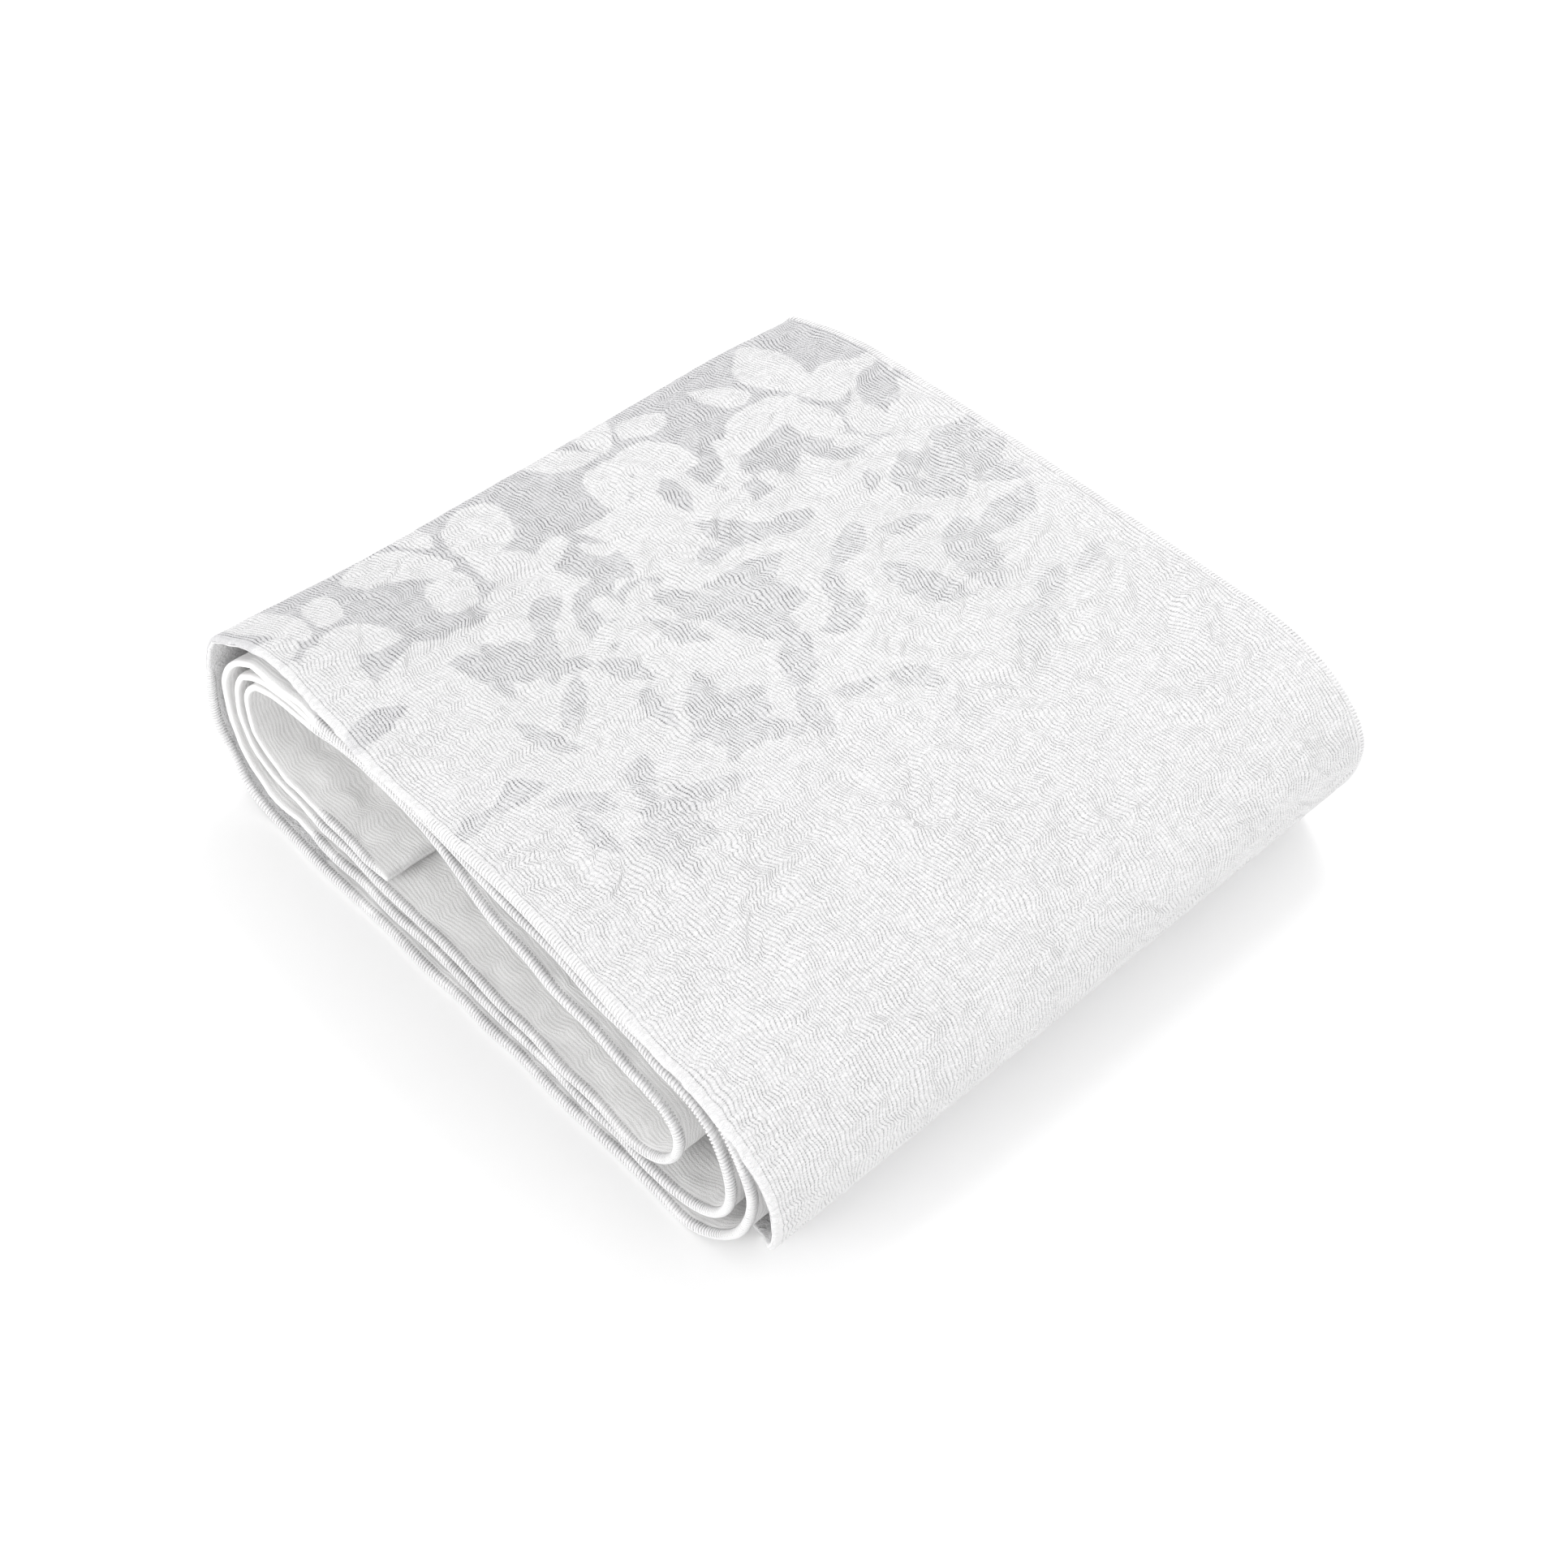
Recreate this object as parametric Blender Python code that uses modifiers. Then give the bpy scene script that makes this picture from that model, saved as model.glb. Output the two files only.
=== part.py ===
"""Light crinkled duvet, folded over itself into a flat roll, as one solid sheet of cloth."""

from collections import namedtuple

import bpy
import numpy as np

# Driving sizes, in metres. X runs across the folds, Y along the roll and Z up.
CLOTH_THICKNESS = 0.0032
ROLL_LENGTH = 0.397
NEAR_SHAPE_REACH = 0.110
MIDDLE_SAG = 0.002
SAG_STARTS_AT = 0.012

# Where along X the upper and lower runs have their heights measured
CROWN_X = 0.120
MIDDLE_X = 0.230
CREASE_X = 0.000
CREASE_NEAR_HEIGHT = 0.1205
CREASE_HEIGHT = 0.1165
TAIL_END_X = 0.3600
TAIL_BEND_X = 0.3705
TAIL_LEAVES_HEIGHT = 0.0314
INNER_END_X = 0.112
INNER_END_HEIGHT = 0.0315

# How finely the cloth is followed
RUN_STEPS = 200
FOLD_STEPS = 60
SMOOTHING_REACH = 0.005
WIDEST_STEP = 0.034
SHARPEST_TURN = 11.0
STATIONS_ALONG = (0.0, 0.025, 0.06, 0.105, 0.16, 0.23, 0.31, 0.43, 0.57, 0.71, 0.86, 0.95, 1.0)

# Upper runs of cloth, from the outermost in. Heights of the middle of the cloth at the left
# shoulder, the crown, the middle and the right shoulder, at the near end and then at the far end.
TopRun = namedtuple(
    "TopRun",
    "name near_left near_crown near_middle near_right far_left far_crown far_middle far_right",
)
TOP_RUNS = (
    TopRun("outer", 0.1300, 0.1270, 0.1225, 0.1130, 0.1150, 0.1170, 0.1170, 0.1155),
    TopRun("second", 0.1220, 0.1205, 0.1160, 0.1060, 0.1090, 0.1110, 0.1110, 0.1070),
    TopRun("third", 0.1140, 0.1140, 0.1090, 0.0990, 0.1030, 0.1050, 0.1040, 0.0990),
    TopRun("inner", 0.1070, 0.1070, 0.0955, 0.0820, 0.0970, 0.0990, 0.0950, 0.0820),
)

# Lower runs, from the floor up. Heights at the left shoulder, the middle and the right shoulder.
LowRun = namedtuple("LowRun", "name left middle right")
LOW_RUNS = (
    LowRun("floor", CLOTH_THICKNESS / 2, CLOTH_THICKNESS / 2, CLOTH_THICKNESS / 2),
    LowRun("second", 0.0130, 0.0110, 0.0110),
    LowRun("third", 0.0270, 0.0230, 0.0220),
    LowRun("short", 0.0380, 0.0340, INNER_END_HEIGHT),
)

# Folds at the left and right ends. Each bulges to reach_x at reach_z, meets the run above it at
# upper_x and the run below it at lower_x, and has its edge side_back behind the near face there.
Fold = namedtuple("Fold", "name reach_x reach_z upper_x lower_x side_back")
LEFT_FOLDS = (
    Fold("outer", -0.0200, 0.0550, CREASE_X, 0.0300, 0.0000),
    Fold("second", -0.0130, 0.0570, 0.0450, 0.0300, 0.0040),
    Fold("third", -0.0045, 0.0600, 0.0450, 0.0350, 0.0055),
    Fold("inner", 0.0040, 0.0640, 0.0450, 0.0400, 0.0060),
)
RIGHT_FOLDS = (
    Fold("wrap", 0.3995, 0.0670, 0.3220, 0.3350, 0.0000),
    Fold("second", 0.3810, 0.0600, 0.3320, 0.3350, 0.0030),
    Fold("third", 0.3690, 0.0550, 0.3230, 0.3280, 0.0025),
    Fold("inner", 0.3360, 0.0590, 0.3080, 0.3030, 0.0010),
)

# How far behind the near face of the roll each run's edge lies, at its left shoulder, crown,
# middle and right shoulder. A run that sticks out has a value below zero.
TopSetback = namedtuple("TopSetback", "name left crown middle right")
TOP_SETBACKS = (
    TopSetback("outer", 0.0075, 0.0035, 0.0050, 0.0010),
    TopSetback("second", 0.0035, 0.0065, 0.0085, 0.0060),
    TopSetback("third", 0.0050, 0.0085, 0.0065, 0.0040),
    TopSetback("inner", 0.0050, 0.0110, 0.0010, 0.0005),
)
LowSetback = namedtuple("LowSetback", "name left middle right")
LOW_SETBACKS = (
    LowSetback("floor", 0.0000, 0.0000, -0.0010),
    LowSetback("second", 0.0040, 0.0045, 0.0015),
    LowSetback("third", 0.0060, 0.0055, 0.0010),
    LowSetback("short", 0.0065, 0.0070, 0.0070),
)
CREASE_NEAR_SETBACK = 0.0
CREASE_FULLNESS = 0.78
CREASE_FAR_SETBACK = 0.011
FAR_CORNER_DROP = 0.005
FAR_CORNER_STARTS_AT = 0.320
TAIL_SETBACK = 0.020
FAR_SETBACK_STEP = 0.003
FAR_CORNER_REACH = 0.060
FAR_WANDER_TURNS = 4.5

CLOTH_COLOUR = (0.83, 0.83, 0.85, 1.0)
CLOTH_ROUGHNESS = 0.9


def clear_scene():
    """Take every object out of the open file."""
    for thing in list(bpy.data.objects):
        bpy.data.objects.remove(thing, do_unlink=True)


def run_points(knots, steps):
    """Points on a smooth line through knots of (x, height, setback)."""
    xs = np.array([knot[0] for knot in knots])
    order = 1.0 if xs[-1] > xs[0] else -1.0
    values = np.array([knot[1:] for knot in knots])
    slopes = np.diff(values, axis=0) / np.diff(xs)[:, None]
    tangents = np.vstack([slopes[:1], (slopes[:-1] + slopes[1:]) / 2, slopes[-1:]])
    points = []
    for x in np.linspace(xs[0], xs[-1], steps):
        span = int(np.clip(np.searchsorted(order * xs, order * x) - 1, 0, len(xs) - 2))
        width = xs[span + 1] - xs[span]
        t = (x - xs[span]) / width
        from_here = (2 * t**3 - 3 * t**2 + 1) * values[span]
        to_next = (3 * t**2 - 2 * t**3) * values[span + 1]
        leaving = (t**3 - 2 * t**2 + t) * width * tangents[span]
        arriving = (t**3 - t**2) * width * tangents[span + 1]
        height, setback = from_here + to_next + leaving + arriving
        points.append((x, height, setback))
    return points


def fold_points(fold, upper, lower, going_down):
    """Points round a fold, as an upper and a lower quarter of an ellipse."""
    points = []
    for angle in np.linspace(90.0, -90.0, 2 * FOLD_STEPS):
        corner_x, corner_z, corner_back = (fold.upper_x, *upper) if angle > 0 else (fold.lower_x, *lower)
        turn = np.radians(angle)
        x = corner_x + (fold.reach_x - corner_x) * np.cos(turn)
        z = fold.reach_z + (corner_z - fold.reach_z) * abs(np.sin(turn))
        points.append((x, z, fold.side_back + (corner_back - fold.side_back) * np.sin(turn) ** 2))
    return points if going_down else points[::-1]


def creased_fold_points(fold, crease, lower):
    """Points down the outer left side, which starts at a sharp crease and swells outwards."""
    points = []
    for height in np.linspace(crease[0], fold.reach_z, FOLD_STEPS):
        rise = (height - fold.reach_z) / (crease[0] - fold.reach_z)
        points.append((fold.reach_x + (fold.upper_x - fold.reach_x) * rise**2, height, crease[1] * rise))
    for angle in np.linspace(0.0, 90.0, FOLD_STEPS):
        turn = np.radians(angle)
        x = fold.lower_x + (fold.reach_x - fold.lower_x) * np.cos(turn)
        z = fold.reach_z + (lower[0] - fold.reach_z) * np.sin(turn)
        points.append((x, z, lower[1] * np.sin(turn)))
    return points


def top_knots(turn, near):
    """Knots of an upper run from its right shoulder to its left one."""
    run = TOP_RUNS[turn]
    back = TOP_SETBACKS[turn]
    left, crown, middle, right = run[1:5] if near else run[5:9]
    right_x = RIGHT_FOLDS[turn].upper_x
    knots = [
        (right_x, right, back.right),
        (MIDDLE_X, middle, back.middle),
        (CROWN_X, crown, back.crown),
        (LEFT_FOLDS[1].upper_x, left, back.left),
    ]
    if turn == 0:
        crease = CREASE_NEAR_HEIGHT if near else CREASE_HEIGHT
        half_way = crease + (left - crease) * CREASE_FULLNESS
        knots.append((LEFT_FOLDS[1].upper_x / 2, half_way, back.left * CREASE_FULLNESS))
        knots.append((CREASE_X, crease, CREASE_NEAR_SETBACK))
    return knots


def low_knots(turn):
    """Knots of a lower run from its left shoulder to its right one, or to the short end."""
    run = LOW_RUNS[turn]
    back = LOW_SETBACKS[turn]
    left_x = LEFT_FOLDS[turn].lower_x
    is_short = turn == len(LOW_RUNS) - 1
    right_x = INNER_END_X if is_short else RIGHT_FOLDS[turn + 1].lower_x
    return [
        (left_x, run.left, back.left),
        ((left_x + right_x) / 2, run.middle, back.middle),
        (right_x, run.right, back.right),
    ]


def straight_points(knots, steps):
    """Points on straight lines between knots, so that cloth on the floor stays flat."""
    xs = [knot[0] for knot in knots]
    along = np.linspace(xs[0], xs[-1], steps)
    heights = np.interp(along, xs, [knot[1] for knot in knots])
    setbacks = np.interp(along, xs, [knot[2] for knot in knots])
    return list(zip(along, heights, setbacks))


def tail_points(wrap_end):
    """Points along the tail, which lies flat on the floor and then slopes up to meet the wrap."""
    knots = np.array([
        (TAIL_END_X, CLOTH_THICKNESS / 2, TAIL_SETBACK),
        (TAIL_BEND_X, CLOTH_THICKNESS / 2, TAIL_SETBACK),
        wrap_end,
    ])
    places = np.linspace(0, len(knots) - 1, FOLD_STEPS)
    columns = [np.interp(places, range(len(knots)), knots[:, axis]) for axis in range(3)]
    return list(zip(*columns))[:-1]


def spiral(near):
    """The whole way round, from the tail on the floor to the short end inside."""
    points = []
    below = (CLOTH_THICKNESS / 2, TAIL_SETBACK)
    for turn in range(len(TOP_RUNS)):
        knots = top_knots(turn, near)
        side = fold_points(RIGHT_FOLDS[turn], knots[0][1:], below, going_down=False)
        if turn == 0:
            side = [point for point in side if point[1] > TAIL_LEAVES_HEIGHT]
            side = tail_points(side[0]) + side
        points += side
        points += run_points(knots, RUN_STEPS)
        low = low_knots(turn)
        if turn == 0:
            points += creased_fold_points(LEFT_FOLDS[0], knots[-1][1:], low[0][1:])
            points += straight_points(low, RUN_STEPS)
        else:
            points += fold_points(LEFT_FOLDS[turn], knots[-1][1:], low[0][1:], going_down=True)
            points += run_points(low, RUN_STEPS)
        below = low[-1][1:]
    return np.array(points)


def evened(points, reach):
    """Round the joins between runs and folds over a short reach of cloth."""
    steps = np.linalg.norm(np.diff(points[:, :2], axis=0), axis=1)
    distance = np.concatenate([[0.0], np.cumsum(steps)])
    spread = np.gradient(distance)
    result = np.empty_like(points)
    for index, here in enumerate(distance):
        room = min(reach, here, distance[-1] - here) + 1e-6
        weight = np.clip(1.0 - np.abs(distance - here) / room, 0.0, None) * spread
        result[index] = (weight[:, None] * points).sum(axis=0) / weight.sum()
    return result


def kept_indices(points):
    """Thin the points out, closer together where the cloth bends."""
    directions = np.degrees(np.unwrap(np.arctan2(*np.gradient(points[:, :2], axis=0).T[::-1])))
    kept = [0]
    for index in range(1, len(points) - 1):
        far_enough = np.linalg.norm(points[index, :2] - points[kept[-1], :2]) > WIDEST_STEP
        turned = abs(directions[index] - directions[kept[-1]]) > SHARPEST_TURN
        if far_enough or turned:
            kept.append(index)
    kept.append(len(points) - 1)
    return kept


def smooth_step(t):
    """Ease from 0 to 1."""
    t = np.clip(t, 0.0, 1.0)
    return t * t * (3 - 2 * t)


def near_crease(x, z):
    """From 0 to 1 towards the outer crease at the top left."""
    beside = np.clip(1.0 - np.abs(x - CREASE_X) / FAR_CORNER_REACH, 0.0, 1.0)
    return beside**2 * smooth_step(z / CREASE_HEIGHT)


def far_setbacks(points):
    """How far each part of the cloth stops short of the far face."""
    x, z = points[:, 0], points[:, 1]
    wander = 0.5 + 0.5 * np.sin(np.linspace(0.0, FAR_WANDER_TURNS * 2 * np.pi, len(points)))
    drawn_in = FAR_SETBACK_STEP * wander * smooth_step(z / CREASE_HEIGHT)
    return CREASE_FAR_SETBACK * near_crease(x, z) + drawn_in


def build_cloth(collection):
    """Loft the spiral along the roll and give it the thickness of the cloth."""
    near = evened(spiral(near=True), SMOOTHING_REACH)
    far = evened(spiral(near=False), SMOOTHING_REACH)
    kept = kept_indices(near)
    near = near[kept]
    far = far[kept]
    far_back = far_setbacks(far)

    across = len(kept)
    bpy.ops.mesh.primitive_grid_add(
        x_subdivisions=across - 1, y_subdivisions=len(STATIONS_ALONG) - 1, size=1.0
    )
    cloth = bpy.context.object
    cloth.name = "folded_duvet"
    cloth.data.name = "folded_duvet"
    for vertex in cloth.data.vertices:
        row, column = divmod(vertex.index, across)
        share = STATIONS_ALONG[row]
        starts = near[column, 2]
        ends = ROLL_LENGTH - far_back[column]
        along = starts + (ends - starts) * share
        nearness = 1.0 - smooth_step(along / NEAR_SHAPE_REACH)
        x, z = near[column, :2] * nearness + far[column, :2] * (1 - nearness)
        high = smooth_step((z - SAG_STARTS_AT) / CREASE_HEIGHT)
        z -= MIDDLE_SAG * high * np.sin(np.pi * share)
        past_corner = smooth_step((along - FAR_CORNER_STARTS_AT) / (ROLL_LENGTH - FAR_CORNER_STARTS_AT))
        z -= FAR_CORNER_DROP * near_crease(x, z) * past_corner
        vertex.co = (x, along, z)

    solidify = cloth.modifiers.new("cloth_thickness", "SOLIDIFY")
    solidify.thickness = CLOTH_THICKNESS
    solidify.offset = 0.0
    solidify.use_rim = True
    cloth.data.shade_smooth()
    for owner in list(cloth.users_collection):
        owner.objects.unlink(cloth)
    collection.objects.link(cloth)
    return cloth


def centre_on_base(cloth):
    """Put the origin under the middle of the finished solid, level with its base."""
    depsgraph = bpy.context.evaluated_depsgraph_get()
    solid = cloth.evaluated_get(depsgraph).to_mesh()
    corners = np.array([vertex.co[:] for vertex in solid.vertices])
    middle = (corners.min(axis=0) + corners.max(axis=0)) / 2
    for vertex in cloth.data.vertices:
        vertex.co.x -= middle[0]
        vertex.co.y -= middle[1]
        vertex.co.z -= corners[:, 2].min()


def cloth_material():
    """White crinkled cotton, with no shine."""
    material = bpy.data.materials.new("white_crinkled_cotton")
    material.use_nodes = True
    shader = material.node_tree.nodes["Principled BSDF"]
    shader.inputs["Base Color"].default_value = CLOTH_COLOUR
    shader.inputs["Roughness"].default_value = CLOTH_ROUGHNESS
    shader.inputs["Metallic"].default_value = 0.0
    return material


def build_duvet():
    """One sheet of cloth is the whole object."""
    clear_scene()
    collection = bpy.data.collections.new("folded_duvet")
    bpy.context.scene.collection.children.link(collection)
    cloth = build_cloth(collection)
    centre_on_base(cloth)
    cloth.data.materials.append(cloth_material())


build_duvet()
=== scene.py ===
"""Looks of the folded duvet: one crinkled white jacquard cloth in a flat roll, with overlocked edges."""

from collections import namedtuple

import bpy
import numpy as np
from mathutils import Euler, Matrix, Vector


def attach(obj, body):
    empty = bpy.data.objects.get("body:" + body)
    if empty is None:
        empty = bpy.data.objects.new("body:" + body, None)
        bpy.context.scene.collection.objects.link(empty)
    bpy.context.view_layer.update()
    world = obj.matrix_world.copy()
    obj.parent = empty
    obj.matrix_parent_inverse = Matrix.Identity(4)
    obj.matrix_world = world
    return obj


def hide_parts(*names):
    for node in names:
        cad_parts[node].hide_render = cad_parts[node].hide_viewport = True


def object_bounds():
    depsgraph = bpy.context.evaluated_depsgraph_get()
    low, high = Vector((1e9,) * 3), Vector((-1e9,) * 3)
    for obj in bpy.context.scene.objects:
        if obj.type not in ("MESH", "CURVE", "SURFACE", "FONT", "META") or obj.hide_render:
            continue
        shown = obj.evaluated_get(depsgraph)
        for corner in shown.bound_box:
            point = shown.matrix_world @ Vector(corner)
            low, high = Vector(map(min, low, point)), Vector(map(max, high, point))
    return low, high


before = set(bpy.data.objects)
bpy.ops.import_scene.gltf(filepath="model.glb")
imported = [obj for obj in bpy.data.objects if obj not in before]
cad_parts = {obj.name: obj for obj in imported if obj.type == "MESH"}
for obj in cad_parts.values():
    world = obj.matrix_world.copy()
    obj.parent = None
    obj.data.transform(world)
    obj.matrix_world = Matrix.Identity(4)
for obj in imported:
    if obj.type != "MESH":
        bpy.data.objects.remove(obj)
cad_low, cad_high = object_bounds()
bpy.ops.object.select_all(action="DESELECT")

# Camera, floor and light. The camera looks down from the near right, as in the photo, so that the near
# end of the roll shows. The floor is plain and pale, under broad lights from above and behind, from
# the right and from the front, with a white room round it.
CAMERA_PLACE = (0.5815, -0.5375, 0.9220)
CAMERA_TILT = 41.2925
CAMERA_TURN = 47.044
CAMERA_SENSOR = 36.0
CAMERA_LENS = 53.57

camera_data = bpy.data.cameras.new("photo_camera")
camera_data.sensor_width = CAMERA_SENSOR
camera_data.lens = CAMERA_LENS
camera_data.clip_start = 0.05
camera = bpy.data.objects.new("photo_camera", camera_data)
camera.location = CAMERA_PLACE
camera.rotation_euler = Euler(np.radians((CAMERA_TILT, 0.0, CAMERA_TURN)))
bpy.context.scene.collection.objects.link(camera)
bpy.context.scene.camera = camera

FLOOR_SIDE = 14.0
FLOOR_COLOUR = (0.90, 0.90, 0.90, 1.0)

bpy.ops.mesh.primitive_plane_add(size=FLOOR_SIDE)
floor = bpy.context.object
floor.name = "floor"
floor_material = bpy.data.materials.new("pale_floor")
floor_material.use_nodes = True
floor_shader = floor_material.node_tree.nodes["Principled BSDF"]
floor_shader.inputs["Base Color"].default_value = FLOOR_COLOUR
floor_shader.inputs["Roughness"].default_value = 0.95
floor_shader.inputs["Specular IOR Level"].default_value = 0.1
floor.data.materials.append(floor_material)


def add_soft_light(name, place, turn, side, watts):
    """A square area light, turned in degrees."""
    light = bpy.data.lights.new(name, "AREA")
    light.shape = "SQUARE"
    light.size = side
    light.energy = watts
    holder = bpy.data.objects.new(name, light)
    holder.location = place
    holder.rotation_euler = Euler(np.radians(turn))
    bpy.context.scene.collection.objects.link(holder)


add_soft_light("light_above", (-0.5, 1.1, 1.9), (-32.0, -14.0, 0.0), 0.9, 14.0)
add_soft_light("light_right", (2.0, 0.2, 1.2), (0.0, 62.0, 0.0), 1.4, 11.0)
add_soft_light("light_front", (-0.5, -2.2, 0.45), (82.0, 0.0, -12.0), 1.6, 30.0)

room = bpy.data.worlds.new("white_room")
room.use_nodes = True
room.node_tree.nodes["Background"].inputs["Color"].default_value = (1.0, 1.0, 1.0, 1.0)
room.node_tree.nodes["Background"].inputs["Strength"].default_value = 1.04
bpy.context.scene.world = room
bpy.context.scene.view_settings.view_transform = "Standard"
bpy.context.scene.view_settings.look = "None"

# The way the cloth goes round. One sheet starts in a short tail on the floor at the lower right,
# wraps the right side, runs along the top to a sharp crease, and goes round three more times inside.
CLOTH_THICKNESS = 0.0032
ROLL_LENGTH = 0.397
NEAR_SHAPE_REACH = 0.110
MIDDLE_SAG = 0.002
SAG_STARTS_AT = 0.012
CROWN_X = 0.120
MIDDLE_X = 0.230
CREASE_X = 0.000
CREASE_NEAR_HEIGHT = 0.1205
CREASE_HEIGHT = 0.1165
TAIL_END_X = 0.3600
TAIL_BEND_X = 0.3705
TAIL_LEAVES_HEIGHT = 0.0314
INNER_END_X = 0.112
INNER_END_HEIGHT = 0.0315
RUN_STEPS = 200
FOLD_STEPS = 60
SMOOTHING_REACH = 0.005

TopRun = namedtuple(
    "TopRun",
    "name near_left near_crown near_middle near_right far_left far_crown far_middle far_right",
)
TOP_RUNS = (
    TopRun("outer", 0.1300, 0.1270, 0.1225, 0.1130, 0.1150, 0.1170, 0.1170, 0.1155),
    TopRun("second", 0.1220, 0.1205, 0.1160, 0.1060, 0.1090, 0.1110, 0.1110, 0.1070),
    TopRun("third", 0.1140, 0.1140, 0.1090, 0.0990, 0.1030, 0.1050, 0.1040, 0.0990),
    TopRun("inner", 0.1070, 0.1070, 0.0955, 0.0820, 0.0970, 0.0990, 0.0950, 0.0820),
)
LowRun = namedtuple("LowRun", "name left middle right")
LOW_RUNS = (
    LowRun("floor", CLOTH_THICKNESS / 2, CLOTH_THICKNESS / 2, CLOTH_THICKNESS / 2),
    LowRun("second", 0.0130, 0.0110, 0.0110),
    LowRun("third", 0.0270, 0.0230, 0.0220),
    LowRun("short", 0.0380, 0.0340, INNER_END_HEIGHT),
)
Fold = namedtuple("Fold", "name reach_x reach_z upper_x lower_x side_back")
LEFT_FOLDS = (
    Fold("outer", -0.0200, 0.0550, CREASE_X, 0.0300, 0.0000),
    Fold("second", -0.0130, 0.0570, 0.0450, 0.0300, 0.0040),
    Fold("third", -0.0045, 0.0600, 0.0450, 0.0350, 0.0055),
    Fold("inner", 0.0040, 0.0640, 0.0450, 0.0400, 0.0060),
)
RIGHT_FOLDS = (
    Fold("wrap", 0.3995, 0.0670, 0.3220, 0.3350, 0.0000),
    Fold("second", 0.3810, 0.0600, 0.3320, 0.3350, 0.0030),
    Fold("third", 0.3690, 0.0550, 0.3230, 0.3280, 0.0025),
    Fold("inner", 0.3360, 0.0590, 0.3080, 0.3030, 0.0010),
)
TopSetback = namedtuple("TopSetback", "name left crown middle right")
TOP_SETBACKS = (
    TopSetback("outer", 0.0075, 0.0035, 0.0050, 0.0010),
    TopSetback("second", 0.0035, 0.0065, 0.0085, 0.0060),
    TopSetback("third", 0.0050, 0.0085, 0.0065, 0.0040),
    TopSetback("inner", 0.0050, 0.0110, 0.0010, 0.0005),
)
LowSetback = namedtuple("LowSetback", "name left middle right")
LOW_SETBACKS = (
    LowSetback("floor", 0.0000, 0.0000, -0.0010),
    LowSetback("second", 0.0040, 0.0045, 0.0015),
    LowSetback("third", 0.0060, 0.0055, 0.0010),
    LowSetback("short", 0.0065, 0.0070, 0.0070),
)
CREASE_NEAR_SETBACK = 0.0
CREASE_FULLNESS = 0.78
CREASE_FAR_SETBACK = 0.011
FAR_CORNER_DROP = 0.005
FAR_CORNER_STARTS_AT = 0.320
TAIL_SETBACK = 0.020
FAR_SETBACK_STEP = 0.003
FAR_CORNER_REACH = 0.060
FAR_WANDER_TURNS = 4.5
EDGE_WAVER = 0.0005
EDGE_WAVER_STARTS = 0.25
EDGE_WAVER_TURNS = 97.0
EDGE_WAVER_SLOW_TURNS = 31.0
EDGE_WAVER_UNEVENNESS = 1.3


def smooth_step(t):
    """Ease from 0 to 1."""
    t = np.clip(t, 0.0, 1.0)
    return t * t * (3 - 2 * t)


def run_points(knots):
    """Points on a smooth line through knots of (x, height, setback)."""
    xs = np.array([knot[0] for knot in knots])
    order = 1.0 if xs[-1] > xs[0] else -1.0
    values = np.array([knot[1:] for knot in knots])
    slopes = np.diff(values, axis=0) / np.diff(xs)[:, None]
    tangents = np.vstack([slopes[:1], (slopes[:-1] + slopes[1:]) / 2, slopes[-1:]])
    points = []
    for x in np.linspace(xs[0], xs[-1], RUN_STEPS):
        span = int(np.clip(np.searchsorted(order * xs, order * x) - 1, 0, len(xs) - 2))
        width = xs[span + 1] - xs[span]
        t = (x - xs[span]) / width
        from_here = (2 * t**3 - 3 * t**2 + 1) * values[span]
        to_next = (3 * t**2 - 2 * t**3) * values[span + 1]
        leaving = (t**3 - 2 * t**2 + t) * width * tangents[span]
        arriving = (t**3 - t**2) * width * tangents[span + 1]
        points.append((x, *(from_here + to_next + leaving + arriving)))
    return points


def straight_points(knots, steps):
    """Points on straight lines between knots of (x, height, setback)."""
    knots = np.array(knots)
    places = np.linspace(0, len(knots) - 1, steps)
    return list(zip(*[np.interp(places, range(len(knots)), knots[:, axis]) for axis in range(3)]))


def fold_points(fold, upper, lower, going_down):
    """Points round a fold, as an upper and a lower quarter of an ellipse."""
    points = []
    for angle in np.linspace(90.0, -90.0, 2 * FOLD_STEPS):
        corner_x, corner_z, corner_back = (fold.upper_x, *upper) if angle > 0 else (fold.lower_x, *lower)
        turn = np.radians(angle)
        x = corner_x + (fold.reach_x - corner_x) * np.cos(turn)
        z = fold.reach_z + (corner_z - fold.reach_z) * abs(np.sin(turn))
        points.append((x, z, fold.side_back + (corner_back - fold.side_back) * np.sin(turn) ** 2))
    return points if going_down else points[::-1]


def creased_fold_points(fold, crease, lower):
    """Points down the outer left side, which starts at a sharp crease and swells outwards."""
    points = []
    for height in np.linspace(crease[0], fold.reach_z, FOLD_STEPS):
        rise = (height - fold.reach_z) / (crease[0] - fold.reach_z)
        points.append((fold.reach_x + (fold.upper_x - fold.reach_x) * rise**2, height, crease[1] * rise))
    for angle in np.linspace(0.0, 90.0, FOLD_STEPS):
        turn = np.radians(angle)
        x = fold.lower_x + (fold.reach_x - fold.lower_x) * np.cos(turn)
        z = fold.reach_z + (lower[0] - fold.reach_z) * np.sin(turn)
        points.append((x, z, lower[1] * np.sin(turn)))
    return points


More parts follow.
